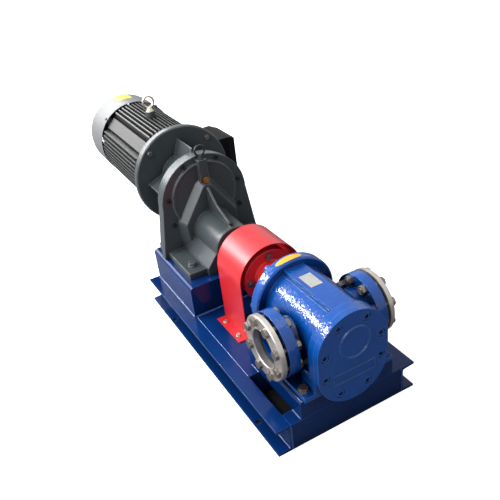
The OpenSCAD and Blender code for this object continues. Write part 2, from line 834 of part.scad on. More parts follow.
module inlet_flange_bolts() { color("gray") flange_bolts(-1); }
module outlet_flange_bolts() { color("gray") flange_bolts(1); }

// Puts its children at each coupling pin, x measured as in the set
module pin_places() {
    for (i = [0:pin_count - 1])
        translate([0, pin_ring * sin(i * 360 / pin_count), shaft_z + pin_ring * cos(i * 360 / pin_count)])
            children();
}

pump_half_end = -coup_front - coup_pump_t;
box_half_front = pump_half_end - coup_gap;
box_half_end = box_half_front - coup_box_t;

module pump_coupling_half() {
    color("red") difference() {
        turned([[coup_shaft_r, pump_half_end], [coup_r - 2, pump_half_end], [coup_r, pump_half_end + 2],
            [coup_r, -coup_front - 2], [coup_r - 2, -coup_front], [coup_hub_r + 4, -coup_front],
            [coup_hub_r, -coup_front + 4], [coup_hub_r, -coup_front + coup_hub_len - 2],
            [coup_hub_r - 2, -coup_front + coup_hub_len], [coup_shaft_r, -coup_front + coup_hub_len]]);
        pin_places() round_x(pin_r, pump_half_end - e, coup_pump_t + 2 * e, 0, 0);
    }
}

module gearbox_coupling_half() {
    color("red") difference() {
        turned([[coup_shaft_r, box_half_front], [coup_r - 2, box_half_front], [coup_r, box_half_front - 2],
            [coup_r, box_half_end + 2], [coup_r - 2, box_half_end], [coup_hub_r + 4, box_half_end],
            [coup_hub_r, box_half_end - 4], [coup_hub_r, box_half_end - coup_hub_len + 2],
            [coup_hub_r - 2, box_half_end - coup_hub_len], [coup_shaft_r, box_half_end - coup_hub_len]]);
        pin_places() round_x(sleeve_r, box_half_end - e, coup_box_t + 2 * e, 0, 0);
    }
}

module coupling_pins() {
    color("gainsboro") pin_places() {
        round_x(pin_r, box_half_end + 3, coup_box_t + coup_gap + coup_pump_t - 3 + 12, 0, 0);
        translate([-coup_front, 0, 0]) rotate([0, 90, 0]) hexagon(3 * pin_r, 9);
    }
}

module coupling_sleeves() {
    color("black") pin_places() difference() {
        round_x(sleeve_r - 0.3, box_half_end + 3, coup_box_t - 4, 0, 0);
        round_x(pin_r, box_half_end, coup_box_t + 2, 0, 0);
    }
}

// Outline of the guard's sheet across the shaft: an arch, two legs and two feet
module guard_section() {
    difference() {
        union() {
            translate([0, guard_z]) circle(guard_r);
            translate([-guard_r, channel_h]) square([2 * guard_r, guard_z - channel_h]);
            translate([-guard_foot, channel_h]) square([2 * guard_foot, guard_t]);
        }
        translate([0, guard_z]) circle(guard_r - guard_t);
        translate([-guard_r + guard_t, channel_h - e]) square([2 * (guard_r - guard_t), guard_z - channel_h + e]);
    }
}

module guard_bolt_places() {
    for (i = [-1, 1]) for (side = [-1, 1])
        translate([-guard_front - guard_len / 2 + i * guard_bolt_pitch / 2, side * (guard_r + guard_foot) / 2, 0])
            children();
}

module coupling_guard() {
    color("crimson") difference() {
        along(-guard_front - guard_len, guard_len) guard_section();
        guard_bolt_places() round_z(4.5, 0, 0, channel_h - e, guard_t + 2 * e);
    }
}

module guard_bolts() {
    color("gainsboro") guard_bolt_places() translate([0, 0, channel_h + guard_t])
        hex_bolt(8, guard_t + deck_t + 3);
}

// Outline of the gearbox's joint flange: arch over sides that spread to the feet
module box_outline(inset = 0) {
    r = arch_r - inset;
    translate([0, arch_z - arch_drop]) circle(r);
    polygon([[-r + 3, arch_z - arch_drop + 20], [r - 3, arch_z - arch_drop + 20],
        [box_bottom_half - inset, ped_top + inset],
        [-box_bottom_half + inset, ped_top + inset]]);
}

// The pear-shaped boss over the second gear pair, drawn smaller by inset
module boss_outline(inset = 0) {
    hull() {
        translate([0, arch_z + 27]) circle(43 - inset, $fn = 32);
        for (side = [-1, 1]) {
            translate([side * 86, boss_side_z]) circle(36 - inset, $fn = 32);
            translate([side * (108 - inset), ped_top + 6]) square(2, center = true);
        }
    }
}

module output_skirt(x, len) {
    along(x, len) polygon([[-66, shaft_z + 4], [66, shaft_z + 4], [box_foot_in + 3, box_foot_top + 6],
        [box_foot_in + 3, ped_top], [-box_foot_in - 3, ped_top], [-box_foot_in - 3, box_foot_top + 6]]);
}

module gearbox_housing() {
    color("darkslategray") difference() {
        union() {
            along(joint_x, box_flange_t) box_outline();
            turned([[0, face_x - e], [dome_r, face_x - e], [dome_r, face_x + dome_t - 3],
                [dome_r - 3, face_x + dome_t], [dome_r - 9, face_x + dome_t],
                [dome_r - 12, face_x + dome_t - 2.5], [0, face_x + dome_t - 2.5]], 0, arch_z);
            hull() {
                along(face_x - 3, 7) boss_outline(0);
                along(boss_x - e, e) boss_outline(19);
            }
            turned([[0, boss_x - e], [out_barrel_r + 3, boss_x - e], [out_barrel_r, -out_end - 10],
                [out_barrel_r - 3, -out_end], [0, -out_end]]);
            output_skirt(face_x - 5, box_face - out_end - 1);
            for (side = [-1, 1]) translate([-box_foot_rear, side > 0 ? box_foot_in : -box_foot_half, ped_top])
                cube([box_foot_rear - box_foot_front, box_foot_half - box_foot_in, box_foot_t]);
            translate([face_x - 4, -17, arch_z + 20]) cube([30, 34, column_rise - 20]);
            translate([0, 4, 0]) rotate([90, 0, 0]) linear_extrude(8)
                polygon([[boss_x - 14, shaft_z + 50], [boss_x - 14, shaft_z + 166], [boss_x + 6, shaft_z + 161],
                    [boss_x + 62, shaft_z + 114], [-out_end - 24, shaft_z + out_barrel_r + 7],
                    [-out_end - 24, shaft_z + 50]]);
            round_z(9, -out_end - 14, 0, shaft_z + out_barrel_r - 8, 11);
        }
        along(joint_x - e, box_flange_t + 1 + e) {
            translate([0, shaft_z]) circle(second_tip_r + gear_room_clear);
            translate([mid_y, mid_z]) circle(second_module * (second_pinion / 2 + 0.95) + gear_room_clear);
        }
        along(joint_x - e, 8 + e) {
            translate([mid_y, mid_z]) circle(first_tip_r + gear_room_clear);
            translate([0, motor_z]) circle(first_module * (first_pinion / 2 + 0.95) + gear_room_clear);
        }
        round_x(out_bearing_r, face_x - 3, box_face - out_end + 4);
        round_x(mid_bearing_r, face_x - 2, 3 + mid_bearing_w, mid_y, mid_z);
        for (p = box_screw_places()) {
            round_x(5, joint_x - e, box_flange_t + 2 * e, p[0], p[1]);
            round_x(9, face_x - 4, 40, p[0], p[1]);
        }
        box_foot_places() round_z(foot_bolt_d / 2 + bolt_clear, 0, 0, ped_top - e, box_foot_t + 2 * e);
        round_z(6.3, face_x + 13, 0, arch_z + column_rise - 20, 30);
        round_x(7, boss_x - box_wall, 30, 0, plug_z);
    }
}

// Screws round the joint flange, as [y, z]
function box_screw_places() = [for (side = [-1, 1]) each [
    [side * (dome_r / 2), arch_z + dome_r - 4], [side * (dome_r + 10), arch_z + 17],
    [side * (dome_r + 5), low_screw_z]]];

module gearbox_screws() {
    color("dimgray") for (p = box_screw_places())
        socket_screw_x(10, face_x - 4, box_flange_t + 10, p[0], p[1]);
    color("dimgray") translate([-out_end - 14, 0, shaft_z + out_barrel_r + 3]) hexagon(13, 7);
}

module motor_adapter() {
    rib_tip = adapter_pcr - 21;
    color("darkslategray") difference() {
        union() {
            along(case_end, rear_case_t) difference() {
                box_outline(5);
                translate([-box_bottom_half, -e]) square([2 * box_bottom_half, box_foot_top + 2 + e]);
            }
            round_x(neck_r, adapter_x - e, case_end - adapter_x + 2 * e, 0, motor_z);
            turned([[0, motor_face_x], [adapter_r, motor_face_x], [adapter_r, adapter_x - 4],
                [adapter_r - 4, adapter_x], [0, adapter_x]], 0, motor_z);
            for (a = [0, 90, 270]) translate([0, 0, motor_z]) rotate([a, 0, 0])
                along(adapter_x - e, case_end - adapter_x + 2 * e)
                    polygon([[0, rib_tip], [28, neck_r - 10], [-28, neck_r - 10]]);
            round_x(mid_bearing_r + 8, case_end - 18, 20, mid_y, mid_z);
        }
        along(case_end + 6, rear_case_t) {
            translate([mid_y, mid_z]) circle(first_tip_r + gear_room_clear);
            translate([0, motor_z]) circle(first_module * (first_pinion / 2 + 0.95) + gear_room_clear);
        }
        round_x(mid_bearing_r, case_end - 12, 30, mid_y, mid_z);
        round_x(motor_shaft_r - 4, motor_face_x - e, case_end - motor_face_x + 20, 0, motor_z);
        round_x(neck_bore_r, motor_face_x - e, case_end - motor_face_x - 20, 0, motor_z);
        for (p = box_screw_places()) round_x(5, joint_x - 16, 20, p[0], p[1]);
        adapter_bolt_places() round_x(adapter_bolt_d / 2 + bolt_clear, motor_face_x - e, adapter_t + 2 * e, 0, 0);
    }
}

module adapter_bolt_places() {
    for (a = [45:90:315])
        translate([0, adapter_pcr * sin(a), motor_z + adapter_pcr * cos(a)]) children();
}

module adapter_bolts() {
    color("gray") adapter_bolt_places() {
        translate([adapter_x, 0, 0]) rotate([0, 90, 0])
            hex_bolt(adapter_bolt_d, adapter_t + motor_flange_t + 12);
        translate([frame_x, 0, 0]) rotate([0, -90, 0]) hex_nut(adapter_bolt_d);
    }
}

// Direction from the output shaft to the intermediate shaft, and on to the motor's shaft
mid_dir = atan2(mid_z - shaft_z, mid_y);
motor_dir = atan2(motor_z - mid_z, -mid_y);

module output_shaft() {
    color("lightgray") turned([[0, box_half_front + 3], [coup_shaft_r, box_half_front + 3],
        [coup_shaft_r, box_half_end - coup_hub_len], [out_shaft_r, box_half_end - coup_hub_len],
        [out_shaft_r, second_x - 2], [0, second_x - 2]]);
}

module output_wheel() {
    color("silver") gear(second_wheel, second_module, second_x, second_width, 0, shaft_z,
        mid_dir, out_shaft_r);
}

// Shaft of the intermediate stage; its pinion is cut on it
module intermediate_shaft() {
    color("lightgray") union() {
        round_x(mid_shaft_r, case_end - 10, face_x + mid_bearing_w - case_end + 9, mid_y, mid_z);
        gear(second_pinion, second_module, second_x, second_width, mid_y, mid_z,
            mid_dir + 180 + 180 / second_pinion, 0);
    }
}

module intermediate_wheel() {
    color("silver") gear(first_wheel, first_module, first_x, first_width, mid_y, mid_z,
        motor_dir, mid_shaft_r);
}

module ring_x(outer, inner, x, len, y = 0, z = shaft_z) {
    difference() {
        round_x(outer, x, len, y, z);
        round_x(inner, x - e, len + 2 * e, y, z);
    }
}

module gearbox_bearings() {
    color("lightsteelblue") {
        ring_x(out_bearing_r, out_shaft_r + run_clear, face_x + 2, out_bearing_w);
        ring_x(out_bearing_r, out_shaft_r + run_clear, -out_end - 12 - out_bearing_w, out_bearing_w);
        ring_x(mid_bearing_r, mid_shaft_r + run_clear, face_x + 1, mid_bearing_w, mid_y, mid_z);
        ring_x(mid_bearing_r, mid_shaft_r + run_clear, case_end - 10, 14, mid_y, mid_z);
    }
}

module output_seal() {
    color("black") ring_x(out_bearing_r, out_shaft_r + run_clear, -out_end - 12, 12.5);
}

module breather_plug() {
    color("goldenrod") {
        round_x(7, boss_x - box_wall, 8, 0, plug_z);
        translate([boss_x - box_wall + 5, 0, plug_z]) rotate([0, 90, 0]) hexagon(22, 10);
    }
}

// Lifting eye on a collar and a threaded shank, its seat at the origin
module lifting_eye(shank, r, t) {
    translate([0, 0, -shank]) cylinder(r = 6, h = shank + 6);
    cylinder(r1 = 0.55 * r, r2 = 8, h = 17);
    translate([0, 0, 10 + r]) rotate([0, 90, 0])
        rotate_extrude() translate([r - t / 2, 0]) circle(t / 2, $fn = 24);
}

module gearbox_eyebolt() {
    color("dimgray") translate([face_x + 13, 0, arch_z + column_rise]) lifting_eye(18, box_eye_r, eye_t - 1);
}

// Cooling fins of one quarter: plates side by side, standing up to the fin circle
module fin_quarter() {
    for (i = [-fin_pairs:fin_pairs])
        translate([i * fin_pitch - fin_t / 2, frame_r / 2]) square([fin_t, fin_r]);
}

module corner_pad() {
    rotate(45) translate([-24, frame_r / 2]) square([48, frame_r / 2 + 16]);
}

module motor_frame() {
    color("gray") difference() {
        union() {
            translate([0, 0, motor_z]) intersection() {
                along(frame_end, frame_len) intersection() {
                    circle(fin_r);
                    union() {
                        circle(frame_r);
                        for (a = [0:90:270]) rotate(a) {
                            fin_quarter();
                            corner_pad();
                        }
                    }
                }
                turned([[0, frame_end], [frame_r + 4, frame_end], [frame_r + 4, frame_end + 12],
                    [fin_r + 1, frame_end + 26],
                    [fin_r + 1, frame_x - 60], [frame_r + 4, frame_x - 14],
                    [frame_r, frame_x], [0, frame_x]], 0, 0);
            }
            round_z(20, motor_eye_x, 0, motor_z + frame_r - 4, fin_r - frame_r + 4 + eye_boss);
            translate([tbox_rear_x, 0, motor_z - tbox_h / 2 + 10])
                cube([tbox_len, tbox_y, tbox_h - 20]);
        }
        round_x(frame_bore_r, frame_end - e, frame_len + 2 * e, 0, motor_z);
        translate([tbox_rear_x - 2, tbox_y, motor_z - tbox_h / 2 - 2]) cube([tbox_len + 4, 40, tbox_h + 4]);
        round_z(6, motor_eye_x, 0, motor_z + fin_r + eye_boss - 22, 40);
    }
}

motor_eye_x = frame_x - 226;
tbox_rear_x = -tbox_front - tbox_len;

module stator_core() {
    color("slategray") difference() {
        round_x(frame_bore_r, core_x - core_len, core_len, 0, motor_z);
        round_x(rotor_r + air_gap, core_x - core_len - e, core_len + 2 * e, 0, motor_z);
    }
}

module end_shield(x, len, flange) {
    difference() {
        union() {
            round_x(frame_bore_r, x, len, 0, motor_z);
            if (flange) round_x(adapter_r - 4, frame_x, motor_flange_t, 0, motor_z);
            else {
                round_x(frame_r + 4, frame_end - 16, 16, 0, motor_z);
                cowl_screw_places() translate([frame_r - 10, -14, -8])
                    cube([cowl_r - cowl_t - frame_r + 9, 28, 16]);
            }
        }
        round_x(motor_bearing_r, flange ? frame_x - shield_t + 6 : frame_end - e, bearing_w + 2, 0, motor_z);
        round_x(motor_shaft_r + 3, x - e, len + motor_flange_t + 2 * e, 0, motor_z);
        if (flange) adapter_bolt_places()
            round_x(adapter_bolt_d / 2 + bolt_clear, frame_x - e, motor_flange_t + 2 * e, 0, 0);
        else {
            round_x(motor_shaft_r + 3, frame_end - 20, 30, 0, motor_z);
            cowl_screw_places() round_x(3, cowl_r - 18, 20, 0, 0);
        }
    }
}

module front_end_shield() { color("gray") end_shield(frame_x - shield_t, shield_t, true); }
module rear_end_shield() { color("gray") end_shield(frame_end, shield_t + bearing_w, false); }

// Motor shaft with the first pinion cut on its front end
module motor_shaft() {
    color("lightgray") union() {
        turned([[0, cowl_end + fan_inset - 2], [fan_shaft_r, cowl_end + fan_inset - 2],
            [fan_shaft_r, frame_end - 4], [motor_shaft_r, frame_end - 4],
            [motor_shaft_r, frame_x + motor_flange_t - 2], [14, frame_x + motor_flange_t - 2],
            [14, first_x - 2], [0, first_x - 2]], 0, motor_z);
        gear(first_pinion, first_module, first_x - 2, first_width + 4, 0, motor_z,
            motor_dir + 180 + 180 / first_pinion, 0);
    }
}

module rotor_core() {
    color("slategray") ring_x(rotor_r, motor_shaft_r, core_x - core_len, core_len, 0, motor_z);
}

module motor_bearings() {
    color("lightsteelblue") {
        ring_x(motor_bearing_r, motor_shaft_r + run_clear, frame_x - shield_t + 6, bearing_w, 0, motor_z);
        ring_x(motor_bearing_r, motor_shaft_r + run_clear, frame_end, bearing_w, 0, motor_z);
    }
}

module cooling_fan() {
    fan_x = cowl_end + fan_inset;
    color("black") union() {
        ring_x(fan_hub_r, fan_shaft_r, fan_x, fan_hub_len, 0, motor_z);
        ring_x(fan_r, fan_hub_r - 2, fan_x + fan_hub_len - 6, 5, 0, motor_z);
        for (i = [0:fan_blades - 1]) translate([0, 0, motor_z]) rotate([i * 360 / fan_blades, 0, 0])
            translate([fan_x, -2, fan_hub_r - 2]) cube([fan_hub_len - 4, 4, fan_r - fan_hub_r]);
    }
}

module fan_cowl() {
    color("lightgray") difference() {
        turned([[0, cowl_end], [cowl_r - 26, cowl_end], [cowl_r - 10, cowl_end + 7], [cowl_r - 3, cowl_end + 18],
            [cowl_r, cowl_end + 34], [cowl_r, cowl_x], [cowl_r - cowl_t, cowl_x],
            [cowl_r - cowl_t, cowl_end + 34], [cowl_r - 3 - cowl_t, cowl_end + 19],
            [cowl_r - 12, cowl_end + 7 + cowl_t], [cowl_r - 27, cowl_end + cowl_t], [0, cowl_end + cowl_t]],
            0, motor_z);
        for (ring = [1:5], a = [0:30:330])
            translate([0, 0, motor_z]) rotate([a + ring * 15, 0, 0])
                translate([cowl_end - e, -ring - 2.5 * ring, ring * 22 + 2]) cube([cowl_t + 2 * e, 7 * ring, 8]);
        cowl_screw_places() round_x(3.3, cowl_r - 10, 20, 0, 0);
    }
}

// Puts its children at each cowl screw, in a frame whose X runs outwards
module cowl_screw_places() {
    for (a = [45:90:315])
        translate([frame_end - 8, 0, motor_z]) rotate([a, 0, 0]) rotate([0, -90, 0]) children();
}

module cowl_screws() {
    color("dimgray") cowl_screw_places() {
        round_x(3, cowl_r - 16, 17, 0, 0);
        round_x(6, cowl_r, 3.5, 0, 0);
    }
}

module motor_eyebolt() {
    color("gainsboro") translate([motor_eye_x, 0, motor_z + fin_r + eye_boss]) lifting_eye(20, eye_r, eye_t);
}

module terminal_box() {
    color("black") difference() {
        translate([tbox_rear_x, tbox_y, motor_z - tbox_h / 2]) cube([tbox_len, tbox_d, tbox_h]);
        translate([tbox_rear_x + tbox_wall, tbox_y + tbox_wall, motor_z - tbox_h / 2 + tbox_wall])
            cube([tbox_len - 2 * tbox_wall, tbox_d, tbox_h - 2 * tbox_wall]);
        round_z(gland_r - 5, tbox_rear_x + 50, tbox_y + tbox_d / 2, motor_z - tbox_h / 2 - e, tbox_wall + 2 * e);
    }
}

module terminal_box_lid() {
    y = tbox_y + tbox_d;
    color("black") translate([tbox_rear_x, y, motor_z]) rotate([-90, 0, 0]) difference() {
        hull() {
            translate([0, -tbox_h / 2, 0]) cube([tbox_len, tbox_h, 8]);
            translate([14, -tbox_h / 2 + 14, 0]) cube([tbox_len - 28, tbox_h - 28, tlid_d]);
        }
        translate([14 + tbox_wall, -tbox_h / 2 + 14 + tbox_wall, -e])
            cube([tbox_len - 28 - 2 * tbox_wall, tbox_h - 28 - 2 * tbox_wall, tlid_d - tbox_wall + e]);
    }
}

// Empty gland for the supply cable, under the terminal box
module cable_gland() {
    color("dimgray") translate([tbox_rear_x + 50, tbox_y + tbox_d / 2, motor_z - tbox_h / 2]) difference() {
        union() {
            cylinder(r = gland_r - 5, h = tbox_wall + 8);
            translate([0, 0, -9]) hexagon(2 * gland_r, 9);
            translate([0, 0, -26]) cylinder(r = gland_r - 2, h = 18);
        }
        translate([0, 0, -30]) cylinder(r = gland_r - 9, h = 60);
    }
}

module place() { translate([origin_back, 0, 0]) children(); }

place() left_channel();
place() right_channel();
place() front_cross_channel();
place() middle_cross_channel();
place() rear_cross_channel();
place() deck_plate();
place() gearbox_pedestal();
place() left_pump_stool();
place() right_pump_stool();
place() pump_casing();
place() front_cover();
place() pump_cover_screws();
place() rear_cover();
place() front_bearing_block();
place() rear_bearing_block();
place() shaft_seal();
place() drive_gear();
place() drive_shaft();
place() drive_gear_key();
place() driven_gear();
place() driven_shaft();
place() foot_bolts();
place() inlet_gasket();
place() outlet_gasket();
place() inlet_companion_flange();
place() outlet_companion_flange();
place() inlet_flange_bolts();
place() outlet_flange_bolts();
place() pump_coupling_half();
place() gearbox_coupling_half();
place() coupling_pins();
place() coupling_sleeves();
place() coupling_guard();
place() guard_bolts();
place() gearbox_housing();
place() gearbox_screws();
place() motor_adapter();
place() output_shaft();
place() output_wheel();
place() intermediate_shaft();
place() intermediate_wheel();
place() gearbox_bearings();
place() output_seal();
place() breather_plug();
place() gearbox_eyebolt();
place() adapter_bolts();
place() motor_frame();
place() stator_core();
place() front_end_shield();
place() rear_end_shield();
place() motor_shaft();
place() rotor_core();
place() motor_bearings();
place() cooling_fan();
place() fan_cowl();
place() cowl_screws();
place() motor_eyebolt();
place() terminal_box();
place() terminal_box_lid();
place() cable_gland();
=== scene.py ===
# %% [markdown]
# # Fuel oil gear pump set
# A gear pump with a flanged port on each side stands at the front of a blue channel base. A red
# guard covers its coupling. Behind it an inline gearbox and a finned motor follow on one line.
# The CAD solids already have the right shapes and sizes, so this lesson loads them, gives each
# one a finish, and adds what a machine shop leaves on the surface: weld beads, plates and patches.

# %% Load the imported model
import json
import math

import bmesh
import bpy
from mathutils import Matrix, Vector


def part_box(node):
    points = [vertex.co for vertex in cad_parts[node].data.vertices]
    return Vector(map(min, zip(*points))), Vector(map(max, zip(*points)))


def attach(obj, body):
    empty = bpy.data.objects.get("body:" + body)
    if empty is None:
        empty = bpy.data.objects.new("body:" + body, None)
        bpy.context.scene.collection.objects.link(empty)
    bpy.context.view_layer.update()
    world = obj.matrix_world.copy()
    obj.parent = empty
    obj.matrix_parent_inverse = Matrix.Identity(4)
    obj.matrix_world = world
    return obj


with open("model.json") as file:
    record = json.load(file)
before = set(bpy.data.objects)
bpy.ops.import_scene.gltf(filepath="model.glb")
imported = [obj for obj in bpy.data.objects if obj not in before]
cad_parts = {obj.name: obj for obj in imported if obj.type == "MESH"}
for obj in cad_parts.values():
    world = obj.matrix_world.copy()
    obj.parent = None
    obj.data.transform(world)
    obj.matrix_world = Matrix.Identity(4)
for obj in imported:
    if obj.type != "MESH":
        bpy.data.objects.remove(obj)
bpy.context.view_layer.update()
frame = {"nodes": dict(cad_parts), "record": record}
nodes = frame["nodes"]

# %% [markdown]
# ## Camera
# The photograph looks down on the set from in front of the pump, with the motor running away to
# the upper left. A camera can be aimed with a constraint, but a photographer also tilts it a
# little. Here yaw, pitch and roll are turned into the camera's three axes, which holds that tilt.

# %% Camera
PICTURE_PIXELS = 500
FOCAL_PIXELS = 628
SENSOR_WIDTH = 36
FAR_LIMIT = 50
CAMERA_PLACE = (1.540, -0.775, 1.418)
CAMERA_YAW, CAMERA_PITCH, CAMERA_ROLL = 25.6, 31.1, -7.2


def camera_axes(yaw, pitch, roll):
    """The camera's right, up and backward directions, from three angles in degrees."""
    yaw, pitch, roll = (math.radians(angle) for angle in (yaw, pitch, roll))
    level = math.cos(pitch)
    ahead = Vector((-math.cos(yaw) * level, math.sin(yaw) * level, -math.sin(pitch)))
    right = ahead.cross(Vector((0, 0, 1))).normalized()
    up = right.cross(ahead)
    right_tilted = math.cos(roll) * right + math.sin(roll) * up
    up_tilted = -math.sin(roll) * right + math.cos(roll) * up
    return right_tilted, up_tilted, -ahead


scene = bpy.context.scene
lens = bpy.data.cameras.new("camera")
lens.sensor_width = SENSOR_WIDTH
lens.lens = FOCAL_PIXELS / PICTURE_PIXELS * lens.sensor_width
lens.clip_end = FAR_LIMIT
camera = bpy.data.objects.new("camera", lens)
scene.collection.objects.link(camera)
camera_turn = Matrix(camera_axes(CAMERA_YAW, CAMERA_PITCH, CAMERA_ROLL)).transposed().to_4x4()
camera.matrix_world = Matrix.Translation(CAMERA_PLACE) @ camera_turn
scene.camera = camera
print("lens:", round(lens.lens, 2), "mm")

# %% [markdown]
# ## Lamps
# The photograph was taken indoors. Faces that look left and up are bright, faces that look
# forwards are dark. An even white sky would be the easy way, but it washes gloss paint out. So a
# wide window lamp stands on the left and a large one behind the motor. A long strip and a faint
# roof lamp draw lines of light on round castings. A small turned lamp hangs where the pump's
# barrel mirrors it to the camera, and a weak one in front lifts the darkest faces.

# %% Lamps
scene.view_settings.view_transform = "Standard"


def area_lamp(name, place, target, size, power, long_way=None):
    """A lamp aimed at a target; long_way turns its long side, which is level without it."""
    lamp = bpy.data.lights.new(name, "AREA")
    lamp.shape = "RECTANGLE"
    lamp.size, lamp.size_y = size
    lamp.energy = power
    holder = bpy.data.objects.new(name, lamp)
    scene.collection.objects.link(holder)
    aim = Vector(target) - Vector(place)
    holder.location = place
    holder.rotation_euler = aim.to_track_quat("-Z", "Y").to_euler()
    if long_way is not None:
        back = -aim.normalized()
        across = back.cross(Vector(long_way)).normalized()
        turned = Matrix((across.cross(back), across, back)).transposed()
        holder.rotation_euler = turned.to_euler()
    return holder


lamps = [
    area_lamp("window_lamp", place=(-0.5, -3.2, 2.3), target=(-0.2, 0, 0.3), size=(3.6, 1.5), power=84),
    area_lamp("back_lamp", place=(-4.6, -1.2, 2.3), target=(-0.3, 0, 0.3), size=(4.2, 2.0), power=190),
    area_lamp("strip_lamp", place=(-0.2, -1.55, 2.6), target=(0.1, 0, 0.3), size=(2.4, 0.12), power=40),
    area_lamp("roof_lamp", place=(-0.3, 0.5, 3.4), target=(-0.1, 0, 0.3), size=(2.6, 1.4), power=18),
    area_lamp("glint_lamp", place=(-1.53, -1.67, 1.71), target=(0.35, -0.07, 0.38), size=(0.9, 0.2),
              power=44, long_way=(0.74, -0.51, 0.44)),
    area_lamp("front_lamp", place=(3.4, -0.9, 1.3), target=(0, 0, 0.3), size=(1.4, 1.0), power=14),
]
print("lamps:", [lamp.name for lamp in lamps])

# %% [markdown]
# ## Helpers for nodes
# A sky or a material is a small graph of nodes. They could be placed by hand in the editor, but
# then no script can repeat them. Four steps come again and again, so each is a function here: add
# a node, lay one colour over another, stretch a value to a new range, and make a cloudy noise.

# %% Helpers for nodes
def new_node(tree, kind, values=None, **settings):
    """A node with its settings made and the values of its sockets filled in."""
    node = tree.nodes.new("ShaderNode" + kind)
    for name, setting in settings.items():
        setattr(node, name, setting)
    for socket, value in (values or {}).items():
        node.inputs[socket].default_value = value
    return node


def layered(tree, below, above, share):
    """One colour over another by a share. A colour is a socket or three numbers."""
    mix = new_node(tree, "Mix", data_type="RGBA")
    for name, colour in (("A", below), ("B", above)):
        if isinstance(colour, tuple):
            mix.inputs[name].default_value = (*colour, 1)
        else:
            tree.links.new(colour, mix.inputs[name])
    tree.links.new(share, mix.inputs["Factor"])
    return mix.outputs["Result"]


def stretched(tree, value, low, high, least=0):
    """A value between low and high, brought to the range from least to one."""
    stretch = new_node(tree, "MapRange", {"From Min": low, "From Max": high, "To Min": least})
    tree.links.new(value, stretch.inputs["Value"])
    return stretch.outputs["Result"]


def noise(tree, scale, detail, roughness=0.5):
    """A cloudy pattern that is fixed to the piece."""
    place = new_node(tree, "TexCoord")
    cloud = new_node(tree, "TexNoise", {"Scale": scale, "Detail": detail, "Roughness": roughness})
    tree.links.new(place.outputs["Object"], cloud.inputs["Vector"])
    return cloud.outputs["Fac"]


print("node helpers:", [helper.__name__ for helper in (new_node, layered, stretched, noise)])

# %% [markdown]
# ## Sky
# The set was cut out on white, but a white world would also light it from all sides. The Light
# Path node tells the two apart: what the camera sees, straight or mirrored in metal and gloss, is
# plain white, and the rays that light the set meet a dim workshop sky that is brighter overhead.

# %% Sky
SKY_STRENGTH = 0.45
SKY_LEVEL_COLOUR = (0.16, 0.18, 0.22, 1)
SKY_TOP_COLOUR = (0.95, 0.97, 1.0, 1)
SKY_TOP_FROM = 0.85
WHITE = (1, 1, 1, 1)


def larger(tree, first, second):
    """The larger of two values."""
    choice = new_node(tree, "Math", operation="MAXIMUM")
    tree.links.new(first, choice.inputs[0])
    tree.links.new(second, choice.inputs[1])
    return choice.outputs["Value"]


world = bpy.data.worlds.new("workshop_sky")
scene.world = world
world.use_nodes = True
sky = world.node_tree
direction = new_node(sky, "TexCoord")
split = new_node(sky, "SeparateXYZ")
brightness = new_node(sky, "ValToRGB")
level, top = brightness.color_ramp.elements
level.position, level.color = 0, SKY_LEVEL_COLOUR
top.position, top.color = SKY_TOP_FROM, SKY_TOP_COLOUR
soft = sky.nodes["Background"]
soft.inputs["Strength"].default_value = SKY_STRENGTH
white = new_node(sky, "Background", {"Color": WHITE})
ray = new_node(sky, "LightPath")
camera_or_gloss = larger(sky, ray.outputs["Is Camera Ray"], ray.outputs["Is Glossy Ray"])
seen_or_mirrored = larger(sky, camera_or_gloss, ray.outputs["Is Transmission Ray"])
choose = new_node(sky, "MixShader")
sky.links.new(direction.outputs["Generated"], split.inputs["Vector"])
sky.links.new(split.outputs["Z"], brightness.inputs["Fac"])
sky.links.new(brightness.outputs["Color"], soft.inputs["Color"])
sky.links.new(seen_or_mirrored, choose.inputs["Fac"])
sky.links.new(soft.outputs["Background"], choose.inputs[1])
sky.links.new(white.outputs["Background"], choose.inputs[2])
sky.links.new(choose.outputs["Shader"], sky.nodes["World Output"].inputs["Surface"])
print("sky nodes:", len(sky.nodes))

# %% [markdown]
# ## Layers of a finish
# A finish is more than a colour. On a real machine the paint drifts a little over the surface and is
# scuffed in spots. Two more layers are painted light: a painted highlight along edges, and painted
# shade in corners where little light gets in. A picture could hold all that, but it would fit one
# shape only. Four node layers fit any shape.

# %% Layers of a finish
DRIFT_DETAIL = 5
SCUFF_SCALE, SCUFF_DETAIL, SCUFF_ROUGHNESS = 55, 8, 0.7
SCUFF_START, SCUFF_FULL, SCUFF_SPREAD = 0.66, 0.74, 0.05
EDGE_SAMPLES = 4
TURN_FLAT, TURN_SHARP = 0.995, 0.86
CORNER_DARK, CORNER_OPEN = 0.25, 0.85
BLACK = (0, 0, 0)


def drifting(tree, colour, drift, scale):
    """A colour that gets a little darker and lighter over the surface."""
    darker = tuple(part * (1 - drift) for part in colour)
    lighter = tuple(min(1, part * (1 + drift)) for part in colour)
    return layered(tree, darker, lighter, noise(tree, scale, DRIFT_DETAIL))


def scuffed(tree, paint, wear, wear_colour):
    """Small worn spots over the paint."""
    ramp = new_node(tree, "ValToRGB")
    ramp.color_ramp.elements[0].position = SCUFF_START - SCUFF_SPREAD * wear
    ramp.color_ramp.elements[1].position = SCUFF_FULL
    spots = noise(tree, SCUFF_SCALE, SCUFF_DETAIL, SCUFF_ROUGHNESS)
    strength = new_node(tree, "Math", {1: min(1, wear)}, operation="MULTIPLY")
    tree.links.new(spots, ramp.inputs["Fac"])
    tree.links.new(ramp.outputs["Color"], strength.inputs[0])
    return layered(tree, paint, wear_colour, strength.outputs["Value"])


